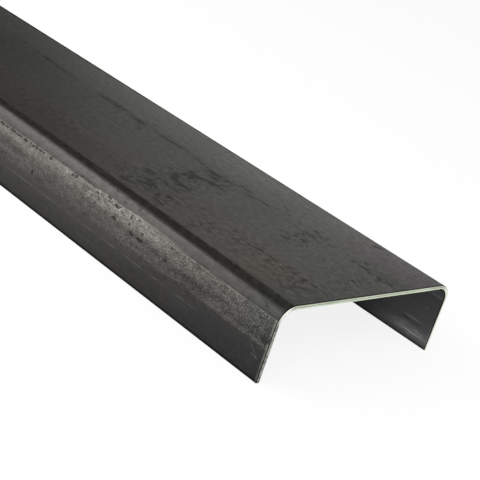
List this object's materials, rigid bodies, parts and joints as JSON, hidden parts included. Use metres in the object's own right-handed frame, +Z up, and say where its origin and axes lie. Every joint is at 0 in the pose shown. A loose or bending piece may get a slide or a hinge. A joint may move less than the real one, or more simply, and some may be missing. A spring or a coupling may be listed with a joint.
{
  "type": "steel channel",
  "caption": "Length of U-section channel bent from hot-rolled steel sheet, with a wide web, short flanges and round bends, for frames, rails and bracing.",
  "frame": {"origin": "on the ground under the middle of the web, midway along the length and midway between the flanges", "axes": "+X along the stock, +Y across the web, +Z up, out of the web's outer face"},
  "size_m": [1, 0.1, 0.03],
  "materials": {
    "mill_steel": "satin"
  },
  "bodies": {
    "root": {"channel": "mill_steel"}
  },
  "joints": []
}
